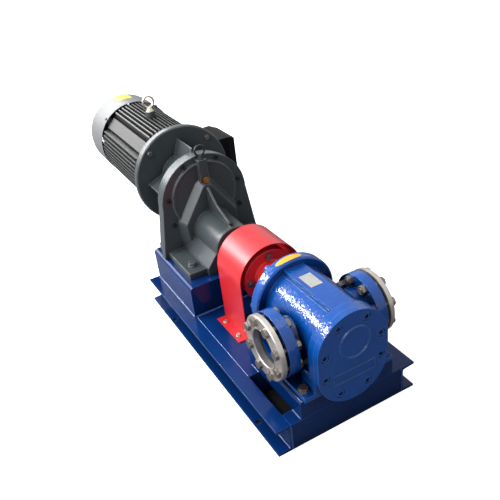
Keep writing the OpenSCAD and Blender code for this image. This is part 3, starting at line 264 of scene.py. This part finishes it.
def rimmed(tree, paint, rim, rim_colour):
    """A painted highlight: a lighter line along edges, found where a rounded normal turns away from the
    flat one.
    """
    rounded = new_node(tree, "Bevel", {"Radius": rim}, samples=EDGE_SAMPLES)
    flat = new_node(tree, "NewGeometry")
    turn = new_node(tree, "VectorMath", operation="DOT_PRODUCT")
    tree.links.new(rounded.outputs["Normal"], turn.inputs[0])
    tree.links.new(flat.outputs["Normal"], turn.inputs[1])
    return layered(tree, paint, rim_colour, stretched(tree, turn.outputs["Value"], TURN_FLAT, TURN_SHARP))


def shaded(tree, paint, dust, reach):
    """Painted shade: darker paint in corners, as far from them as reach."""
    corner = new_node(tree, "AmbientOcclusion", {"Distance": reach}, samples=EDGE_SAMPLES)
    openness = stretched(tree, corner.outputs["AO"], CORNER_DARK, CORNER_OPEN, least=1 - dust)
    return layered(tree, BLACK, paint, openness)


print("layers:", [layer.__name__ for layer in (drifting, scuffed, rimmed, shaded)])

# %% [markdown]
# ## Edges and grain
# No real plate or casting has a knife edge, and paint is never as flat as the mesh below it.
# Rounding the mesh would be truer, but it would change the solids. So the Bevel node bends the
# light at the edges alone, and a fine noise in the bump gives the grain of paint or metal.

# %% Edges and grain
GRAIN_HEIGHT = 0.0015


def surface_normal(tree, edge, grain, grain_scale, grain_detail):
    """Rounded-looking edges and a fine grain, or None where a finish has neither."""
    normal = None
    if edge > 0:
        normal = new_node(tree, "Bevel", {"Radius": edge}, samples=EDGE_SAMPLES).outputs["Normal"]
    if grain > 0:
        bump = new_node(tree, "Bump", {"Strength": grain, "Distance": GRAIN_HEIGHT})
        tree.links.new(noise(tree, grain_scale, grain_detail), bump.inputs["Height"])
        if normal is not None:
            tree.links.new(normal, bump.inputs["Normal"])
        normal = bump.outputs["Normal"]
    return normal


print("height of the grain:", GRAIN_HEIGHT, "m")

# %% [markdown]
# ## Helper for a finish
# One long material per piece would repeat the same nodes twenty times. Each finish here is one
# call instead. It names a colour and a roughness and stacks only the layers that it needs.

# %% Helper for a finish
COAT_ROUGHNESS = 0.12
FINISH = {}


def finish(name, colour, roughness, metallic=0, coat=0, shine=0.5, drift=0.12, drift_scale=6,
           wear=0, wear_colour=None, rim=0, rim_colour=None, dust=0, dust_reach=0.04,
           grain=0, grain_scale=120, grain_detail=4, edge=0.0012):
    """A material from a colour, a roughness and the layers that aren't zero."""
    material = bpy.data.materials.new(name)
    material.use_nodes = True
    tree = material.node_tree
    shader = tree.nodes["Principled BSDF"]
    shader.inputs["Roughness"].default_value = roughness
    shader.inputs["Metallic"].default_value = metallic
    shader.inputs["Coat Weight"].default_value = coat
    shader.inputs["Coat Roughness"].default_value = COAT_ROUGHNESS
    shader.inputs["Specular IOR Level"].default_value = shine
    paint = drifting(tree, colour, drift, drift_scale)
    if wear > 0:
        paint = scuffed(tree, paint, wear, wear_colour)
    # painted highlight, a lighter line along edges
    if rim > 0:
        paint = rimmed(tree, paint, rim, rim_colour)
    # painted shade, darker in corners where little light gets in
    if dust > 0:
        paint = shaded(tree, paint, dust, dust_reach)
    tree.links.new(paint, shader.inputs["Base Color"])
    normal = surface_normal(tree, edge, grain, grain_scale, grain_detail)
    if normal is not None:
        tree.links.new(normal, shader.inputs["Normal"])
    return material


def keep(name, colour, roughness, **details):
    """Makes a finish and stores it under its own name."""
    FINISH[name] = finish(name, colour, roughness, **details)


print("roughness of a clear coat:", COAT_ROUGHNESS)

# %% [markdown]
# ## Paint
# The base and the pump wear thick blue gloss, brushed on, so its grain is coarse and the light
# on it breaks up. Weld beads hold more of it and shine more, and their blue is lighter than the
# base's, a painted highlight for their glints. The guard and the coupling are smooth red, the
# gearbox a dark satin grey, the fan cowl light grey and the terminal box black.
# One blue for all would be simpler, but the pump is clearly brighter than the base.

# %% Paint
# Some finishes below add a painted highlight along edges and painted shade in corners.
keep("base_blue", (0.002, 0.024, 0.12), 0.14, shine=0.22, grain=0.4, grain_detail=2, grain_scale=45,
     edge=0.002, drift=0.3, wear=0.15, wear_colour=(0.04, 0.09, 0.22),
     rim=0.002, rim_colour=(0.01, 0.11, 0.4), dust=0.8, dust_reach=0.09)
keep("pump_blue", (0.002, 0.07, 0.34), 0.07, grain=0.95, grain_scale=115, grain_detail=2,
     edge=0.003, drift=0.25, rim=0.003, rim_colour=(0.02, 0.2, 0.6), dust=0.85, dust_reach=0.09)
# the beads' blue is lighter than the base's, a painted highlight for their glints
keep("weld_blue", (0.003, 0.05, 0.24), 0.1, coat=0.5, grain=0.8, grain_scale=150, grain_detail=2)
keep("guard_red", (0.58, 0.014, 0.022), 0.36, coat=0.2, grain=0.04, grain_scale=150)
keep("coupling_red", (0.8, 0.02, 0.022), 0.35, coat=0.2, grain=0.15)
keep("gearbox_grey", (0.043, 0.053, 0.059), 0.34, coat=0.1, grain=0.35, edge=0.006,
     rim=0.004, rim_colour=(0.16, 0.18, 0.19), dust=0.6)
keep("motor_grey", (0.04, 0.044, 0.044), 0.4, coat=0.15, grain=0.3, grain_scale=160)
keep("cowl_grey", (0.16, 0.165, 0.168), 0.42, shine=0.3, grain=0.06)
keep("box_black", (0.005, 0.005, 0.006), 0.5, shine=0.08, grain=0.2, grain_scale=220)
print("paints:", len(FINISH))

# %% [markdown]
# ## Metal, rubber and plastic
# The companion flanges are bare steel with brown handling marks. Bolts are zinc plated, dark or
# dull grey. Behind the castings turn steel shafts and gears in bronze blocks, sealed with rubber.
# Metal needs little colour of its own: a low roughness lets it mirror what stands around it.

# %% Metal, rubber and plastic
keep("flange_steel", (0.5, 0.46, 0.43), 0.32, metallic=0.75, drift=0.45, drift_scale=26,
     grain=0.3, grain_scale=160, wear=0.8, wear_colour=(0.13, 0.1, 0.08))
for name, colour, roughness, metallic, drift in (
        ("bolt_zinc", (0.66, 0.62, 0.52), 0.3, 0.9, 0.2),
        ("bolt_dark", (0.03, 0.032, 0.036), 0.38, 0.6, 0.2),
        ("bolt_grey", (0.24, 0.22, 0.2), 0.34, 0.9, 0.3)):
    keep(name, colour, roughness, metallic=metallic, drift=drift, drift_scale=40, edge=0.0006)
keep("shaft_steel", (0.55, 0.55, 0.54), 0.22, metallic=1, drift=0.1)
keep("gear_steel", (0.45, 0.45, 0.46), 0.28, metallic=1, drift=0.1)
keep("core_steel", (0.2, 0.2, 0.21), 0.4, metallic=0.9, drift=0.1)
keep("bearing_bronze", (0.45, 0.27, 0.09), 0.3, metallic=1, drift=0.15)
keep("plug_brass", (0.6, 0.36, 0.12), 0.25, metallic=1, drift=0.1, edge=0.0006)
keep("seal_rubber", (0.01, 0.01, 0.01), 0.7, grain=0.2)
keep("fan_plastic", (0.015, 0.015, 0.015), 0.5, grain=0.1)
print("finishes:", len(FINISH))

# %% [markdown]
# ## Motor fins
# Little light reaches the floor of the gaps between a motor's fins, which look nearly black, while
# the fins' tips show the paint. Corner shading alone is too even for that. The distance from the
# motor's axis says how deep a point lies, so it drives a painted shade in the colour as well.

# %% Motor fins
MM = 0.001
MOTOR_AXIS = 441
FIN_ROOT, FIN_TIP = 156, 164.8
FIN_GAP_SHADE = (0.012, 0.012, 0.013)


def fin_finish():
    """Motor paint with a painted shade that is dark at the root of the fins and fades out towards their
    tips.
    """
    # the motor paint also gets painted shade in its corners
    material = finish("motor_fins", (0.066, 0.069, 0.067), 0.42, shine=0.35, grain=0.25,
                      grain_scale=160, dust=0.8)
    tree = material.node_tree
    base_colour = tree.nodes["Principled BSDF"].inputs["Base Color"]
    paint = base_colour.links[0].from_socket
    place = new_node(tree, "TexCoord")
    from_axis = new_node(tree, "VectorMath", {1: (0, 0, MOTOR_AXIS * MM)}, operation="SUBTRACT")
    across = new_node(tree, "VectorMath", {1: (0, 1, 1)}, operation="MULTIPLY")
    radius = new_node(tree, "VectorMath", operation="LENGTH")
    tree.links.new(place.outputs["Object"], from_axis.inputs[0])
    tree.links.new(from_axis.outputs["Vector"], across.inputs[0])
    tree.links.new(across.outputs["Vector"], radius.inputs[0])
    depth = stretched(tree, radius.outputs["Value"], FIN_ROOT * MM, FIN_TIP * MM)
    # painted shade in the fin gaps, darkest at the root
    tree.links.new(layered(tree, FIN_GAP_SHADE, paint, depth), base_colour)
    return material


motor_fins = fin_finish()
print("fin nodes:", len(motor_fins.node_tree.nodes))

# %% [markdown]
# ## Dress the solids
# Each solid names its material slot in the part's record, so most of them can be dressed in one
# loop. Choosing by hand for sixty solids would be slow and easy to get wrong. A few then get a
# look of their own: the fins, and the bolts that have lost their zinc.

# %% Dress the solids
DULL_BOLTS = ("inlet_flange_bolts", "outlet_flange_bolts", "coupling_pins", "adapter_bolts", "foot_bolts")
slot_of = {part["node"]: part["material_slot"] for part in frame["record"]["subparts"]}
for node, piece in nodes.items():
    piece.data.materials.clear()
    piece.data.materials.append(FINISH[slot_of[node]])
nodes["motor_frame"].data.materials[0] = motor_fins
for node in DULL_BOLTS:
    nodes[node].data.materials[0] = FINISH["bolt_grey"]
# The foot bolts are one node. Those of the gearbox are painted over with it, the pump's are bare.
ped_low, ped_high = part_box("gearbox_pedestal")
foot_bolts = nodes["foot_bolts"].data
foot_bolts.materials.append(FINISH["gearbox_grey"])
for face in foot_bolts.polygons:
    face.material_index = 1 if face.center.x < ped_high.x else 0
print("dressed:", len(nodes), "slots used:", len(set(slot_of.values())))

# %% [markdown]
# ## Small pieces made here
# The solids leave out the welds and what is thinner than a millimetre or two: the name plate, the
# yellow patches and the heads of the smallest screws. A material could draw them, but only real
# geometry catches the light. Each is one mesh built point by point, and rides on the fixed body.

# %% Helpers for small pieces
BASE_FRONT = 452


def at(x, y, z):
    """A place in metres, from millimetres with x counted from the base's front end."""
    return Vector((x + BASE_FRONT, y, z)) * MM


def tube_faces(first, rings, count):
    """The faces that join rings of points, each ring with the same count, from first on."""
    faces = []
    for start in range(first, first + (rings - 1) * count, count):
        for k in range(count):
            a, b = start + k, start + (k + 1) % count
            faces.append((a, b, b + count, a + count))
    return faces


def make_piece(name, points, faces, look, smooth=False):
    """A mesh that rides on the fixed body, with its faces turned outwards."""
    shape = bpy.data.meshes.new(name)
    shape.from_pydata([tuple(point) for point in points], [], faces)
    shape.validate()
    turned = bmesh.new()
    turned.from_mesh(shape)
    bmesh.ops.recalc_face_normals(turned, faces=turned.faces)
    turned.to_mesh(shape)
    turned.free()
    for face in shape.polygons:
        face.use_smooth = smooth
    shape.materials.append(look)
    piece = bpy.data.objects.new(name, shape)
    scene.collection.objects.link(piece)
    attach(piece, "pump_set")
    return piece


print("front end of the base at x:", round(at(0, 0, 0).x, 4), "m")

# %% [markdown]
# ## One weld bead
# A hand-laid weld is a row of overlapping ripples. A plain rod along the seam would look like
# piping, and sculpting each seam would take hours. So a bead is swept here as rings of eight
# points. The rings swell and shrink every few millimetres and taper at both ends.

# %% One weld bead
RING_POINTS = 8
RIPPLE = 6
STEPS_PER_RIPPLE = 4
FEWEST_STEPS = 4
SWELL_LEAST, SWELL_MORE, SWELL_AT_END = 0.82, 0.24, 0.35


def add_bead(points, faces, start, end, radius):
    """Adds a bead between two places in metres, with a radius in millimetres."""
    start, end = Vector(start), Vector(end)
    along = end - start
    steps = max(FEWEST_STEPS, int(along.length / MM / RIPPLE * STEPS_PER_RIPPLE))
    side = along.normalized().orthogonal().normalized()
    other = along.normalized().cross(side)
    first = len(points)
    for step in range(steps + 1):
        middle = start + along * (step / steps)
        wave = abs(math.sin(math.pi * step / STEPS_PER_RIPPLE))
        swell = radius * MM * (SWELL_LEAST + SWELL_MORE * wave)
        if step in (0, steps):
            swell *= SWELL_AT_END
        for k in range(RING_POINTS):
            turn = math.tau * k / RING_POINTS
            points.append(middle + side * math.cos(turn) * swell + other * math.sin(turn) * swell)
    last = first + steps * RING_POINTS
    faces.extend(tube_faces(first, steps + 1, RING_POINTS))
    faces.append(tuple(range(first, first + RING_POINTS)))
    faces.append(tuple(range(last + RING_POINTS - 1, last - 1, -1)))


print("steps in 100 mm of bead:", int(100 / RIPPLE * STEPS_PER_RIPPLE))

# %% [markdown]
# ## Weld seams
# The pedestal, the stools, the deck and the front channel are welded to the two long channels.
# Their seams could be listed as numbers, but those would be wrong after any change of size. So
# each seam starts and ends at the corners of the solids' own boxes, a few millimetres short.

# %% Weld seams
PEDESTAL_BEAD, CHANNEL_BEAD, STOOL_BEAD, DECK_BEAD = 5, 3.4, 3.2, 2.2
LONG_GAP, STOOL_GAP, EDGE_GAP = 4 * MM, 3 * MM, 2 * MM

deck_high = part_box("deck_plate")[1]
front_low, front_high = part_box("front_cross_channel")
seam_points, seam_faces = [], []


def weld(start, end, radius):
    """One bead more for the base."""
    add_bead(seam_points, seam_faces, start, end, radius)


for side in (-1, 1):
    ped_y, front_y, deck_y = side * ped_high.y, side * front_high.y, side * deck_high.y
    weld((ped_low.x + LONG_GAP, ped_y, ped_low.z), (ped_high.x, ped_y, ped_low.z), PEDESTAL_BEAD)
    weld((front_high.x, front_y, LONG_GAP), (front_high.x, front_y, front_high.z - LONG_GAP),
         CHANNEL_BEAD)
    weld((deck_high.x - EDGE_GAP, deck_y, deck_high.z), (ped_high.x + LONG_GAP, deck_y, deck_high.z),
         DECK_BEAD)
weld((ped_high.x, ped_low.y + LONG_GAP, ped_low.z), (ped_high.x, ped_high.y - LONG_GAP, ped_low.z),
     PEDESTAL_BEAD)
for stool in ("left_pump_stool", "right_pump_stool"):
    low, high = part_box(stool)
    for y in (low.y, high.y):
        weld((low.x + STOOL_GAP, y, low.z), (deck_high.x, y, low.z), STOOL_BEAD)
        weld((front_low.x, y, low.z), (front_high.x - EDGE_GAP, y, low.z), STOOL_BEAD)
    weld((low.x, low.y + STOOL_GAP, low.z), (low.x, high.y - STOOL_GAP, low.z), STOOL_BEAD)
make_piece("weld_beads", seam_points, seam_faces, FINISH["weld_blue"], smooth=True)
print("bead points:", len(seam_points))

# %% [markdown]
# ## Name plate
# The plate on the pump's pad is stamped sheet. It could be a plane pushed out with a modifier, but
# four corners and a thickness say the same in one step.

# %% Name plate
PAD_TOP = 413
PLATE_BACK, PLATE_FRONT, PLATE_HALF_WIDTH, PLATE_THICK = -194, -129, 19.5, 0.8

plate_look = finish("plate_aluminium", (0.55, 0.55, 0.53), 0.35, metallic=0.8, drift=0.15,
                    drift_scale=60, edge=0)
lower = [at(PLATE_BACK, -PLATE_HALF_WIDTH, PAD_TOP), at(PLATE_FRONT, -PLATE_HALF_WIDTH, PAD_TOP),
         at(PLATE_FRONT, PLATE_HALF_WIDTH, PAD_TOP), at(PLATE_BACK, PLATE_HALF_WIDTH, PAD_TOP)]
upper = [corner + Vector((0, 0, PLATE_THICK * MM)) for corner in lower]
plate_faces = [(3, 2, 1, 0), (4, 5, 6, 7)] + tube_faces(0, rings=2, count=4)
make_piece("pump_plate", lower + upper, plate_faces, plate_look)
print("plate:", PLATE_FRONT - PLATE_BACK, "x", 2 * PLATE_HALF_WIDTH, "mm")

# %% [markdown]
# ## Yellow patches
# One sticker lies on the pump's round rear flange and one on the fan cowl. A flat sheet would cut
# into a round face, and a shrink-wrap would leave it no thickness. So each patch is a grid bent
# about the shaft's axis. The one on the flange is a pointed oval, drawn in towards its ends.

# %% Yellow patches
SHAFT_AXIS = 300
PATCH_THICK = 0.5
PATCH_COLS, PATCH_ROWS = 4, 16
TIP_SHARE = 0.12


def patch_point(layer, i, k):
    """The number of the point in a layer, column i and row k of a patch."""
    return (layer * (PATCH_COLS + 1) + i) * (PATCH_ROWS + 1) + k


def patch_faces():
    """The two sides of a patch and the four edges between them."""
    faces = []
    for i in range(PATCH_COLS):
        for k in range(PATCH_ROWS):
            corners = ((i, k), (i + 1, k), (i + 1, k + 1), (i, k + 1))
            faces.extend(tuple(patch_point(layer, *corner) for corner in corners) for layer in (0, 1))
    for i in range(PATCH_COLS):
        for k in (0, PATCH_ROWS):
            faces.append((patch_point(0, i, k), patch_point(0, i + 1, k),
                          patch_point(1, i + 1, k), patch_point(1, i, k)))
    for k in range(PATCH_ROWS):
        for i in (0, PATCH_COLS):
            faces.append((patch_point(0, i, k), patch_point(0, i, k + 1),
                          patch_point(1, i, k + 1), patch_point(1, i, k)))
    return faces


def curved_patch(name, radius, axis_z, x_range, angles, look, pointed=False):
    """A sheet bent about an axis, from one angle to another in degrees off the top."""
    points = []
    middle = (x_range[0] + x_range[1]) / 2
    for layer in (0, PATCH_THICK):
        for i in range(PATCH_COLS + 1):
            for k in range(PATCH_ROWS + 1):
                oval = math.sqrt(1 - (2 * k / PATCH_ROWS - 1) ** 2)
                width = TIP_SHARE + (1 - TIP_SHARE) * oval if pointed else 1
                x = middle + (x_range[1] - x_range[0]) * (i / PATCH_COLS - 0.5) * width
                turn = math.radians(angles[0] + (angles[1] - angles[0]) * k / PATCH_ROWS)
                reach = radius + layer
                points.append(at(x, reach * math.sin(turn), axis_z + reach * math.cos(turn)))
    return make_piece(name, points, patch_faces(), look)


amber = finish("amber_patch", (0.72, 0.4, 0.03), 0.45, drift=0.06, edge=0)
lemon = finish("lemon_patch", (0.72, 0.62, 0.03), 0.45, drift=0.06, edge=0)
curved_patch("ring_patch", radius=137.05, axis_z=SHAFT_AXIS, x_range=(-278, -254), angles=(-22, 16),
             look=amber, pointed=True)
curved_patch("cowl_patch", radius=166.05, axis_z=MOTOR_AXIS, x_range=(-1685, -1610), angles=(-12, 12),
             look=lemon)
print("faces in a patch:", len(patch_faces()))

# %% [markdown]
# ## Rivets and lid screws
# A rivet head is a low dome. A half sphere would stand too high, and a flat disc would catch no
# light. So each head is a short wall, a shoulder and a raised middle, twelve points round, set
# inside the corners of the plate or the lid.

# %% Rivets and lid screws
DOME_POINTS = 12
DOME_RINGS = ((1, -0.3), (1, 0.45), (0.6, 0.9))
RIVET_INSET_X, RIVET_INSET_Y = 3, 3.5
LID_INSET, LID_SINK = 24 * MM, 0.1 * MM


def studs(name, places, normal, radius, height, look):
    """Low domes at places in metres, with a radius and a height in millimetres."""
    normal = Vector(normal)
    side = normal.orthogonal().normalized()
    other = normal.cross(side)
    points, faces = [], []
    for place in places:
        first = len(points)
        for share, lift in DOME_RINGS:
            for k in range(DOME_POINTS):
                turn = math.tau * k / DOME_POINTS
                out = (side * math.cos(turn) + other * math.sin(turn)) * radius * share
                points.append(place + (out + normal * height * lift) * MM)
        middle = len(points)
        shoulder = middle - DOME_POINTS
        points.append(place + normal * height * MM)
        faces.extend(tube_faces(first, len(DOME_RINGS), DOME_POINTS))
        faces.extend((shoulder + k, shoulder + (k + 1) % DOME_POINTS, middle) for k in range(DOME_POINTS))
        faces.append(tuple(range(first + DOME_POINTS - 1, first - 1, -1)))
    return make_piece(name, points, faces, FINISH[look], smooth=True)


rivet_y = PLATE_HALF_WIDTH - RIVET_INSET_Y
rivets = [at(x, y, PAD_TOP + PLATE_THICK)
          for x in (PLATE_BACK + RIVET_INSET_X, PLATE_FRONT - RIVET_INSET_X) for y in (-rivet_y, rivet_y)]
studs("plate_rivets", rivets, normal=(0, 0, 1), radius=1.8, height=1, look="bolt_zinc")
lid_low, lid_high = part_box("terminal_box_lid")
lid_corners = [Vector((x, lid_high.y - LID_SINK, z))
               for x in (lid_low.x + LID_INSET, lid_high.x - LID_INSET)
               for z in (lid_low.z + LID_INSET, lid_high.z - LID_INSET)]
studs("lid_screws", lid_corners, normal=(0, 1, 0), radius=4.5, height=0.09, look="bolt_dark")
print("heads:", len(rivets) + len(lid_corners))

# %% [markdown]
# ## Floor
# The photograph has no floor, only white. A plain white floor would come out grey under these
# lamps, and would turn the blue paint milky by shining up on it. This one is dark for every ray
# but the camera's. For the camera it is pale and glows a little, and so keeps the soft shadow.

# %% Floor
FLOOR_REACH = 14
FLOOR_LEVEL = -0.5 * MM
FLOOR_GLOW = 0.8
FLOOR_ROUGHNESS, FLOOR_SHINE = 0.9, 0.1
FLOOR_DARK, FLOOR_PALE = (0.22, 0.22, 0.23), (0.85, 0.85, 0.85)


def floor_material():
    """White paper for the camera, a dull dark floor for everything else."""
    material = bpy.data.materials.new("studio_floor")
    material.use_nodes = True
    tree = material.node_tree
    shader = tree.nodes["Principled BSDF"]
    shader.inputs["Roughness"].default_value = FLOOR_ROUGHNESS
    shader.inputs["Specular IOR Level"].default_value = FLOOR_SHINE
    seen = new_node(tree, "LightPath").outputs["Is Camera Ray"]
    strength = new_node(tree, "Math", {1: FLOOR_GLOW}, operation="MULTIPLY")
    glow = new_node(tree, "Emission")
    both = new_node(tree, "AddShader")
    tree.links.new(layered(tree, FLOOR_DARK, FLOOR_PALE, seen), shader.inputs["Base Color"])
    tree.links.new(seen, strength.inputs[0])
    tree.links.new(strength.outputs["Value"], glow.inputs["Strength"])
    tree.links.new(shader.outputs["BSDF"], both.inputs[0])
    tree.links.new(glow.outputs["Emission"], both.inputs[1])
    tree.links.new(both.outputs["Shader"], tree.nodes["Material Output"].inputs["Surface"])
    return material


def flat_sheet(name, low, high, z, material):
    """A level sheet between two corners, there for the picture alone."""
    corners = [(low[0], low[1], z), (high[0], low[1], z), (high[0], high[1], z), (low[0], high[1], z)]
    shape = bpy.data.meshes.new(name)
    shape.from_pydata(corners, [], [(0, 1, 2, 3)])
    shape.materials.append(material)
    sheet = bpy.data.objects.new(name, shape)
    scene.collection.objects.link(sheet)
    return sheet


flat_sheet("floor", (-FLOOR_REACH, -FLOOR_REACH), (FLOOR_REACH, FLOOR_REACH), FLOOR_LEVEL, floor_material())
print("floor reach:", FLOOR_REACH, "m")

# %% [markdown]
# ## Painted shade under the base
# Through the openings in the deck only black shows, as the inside of the base lies in shade. The
# white floor would shine through them. Closing them would be wrong, so a black sheet lies inside the
# base as painted shade, just above the floor and a little smaller than the base's own footprint.

# %% Painted shade under the base
SHEET_INSET = 4 * MM
SHEET_LEVEL = 1.5 * MM

side_low, side_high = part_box("left_channel")
sheet_low = (side_low.x + SHEET_INSET, side_low.y + SHEET_INSET)
sheet_high = (side_high.x - SHEET_INSET, -side_low.y - SHEET_INSET)
# a black sheet inside the base as painted shade
flat_sheet("painted_shade_sheet", sheet_low, sheet_high, SHEET_LEVEL,
           finish("painted_shade_black", (0.004, 0.004, 0.005), 0.9, edge=0))
print("sheet width:", round(sheet_high[1] - sheet_low[1], 3), "m")
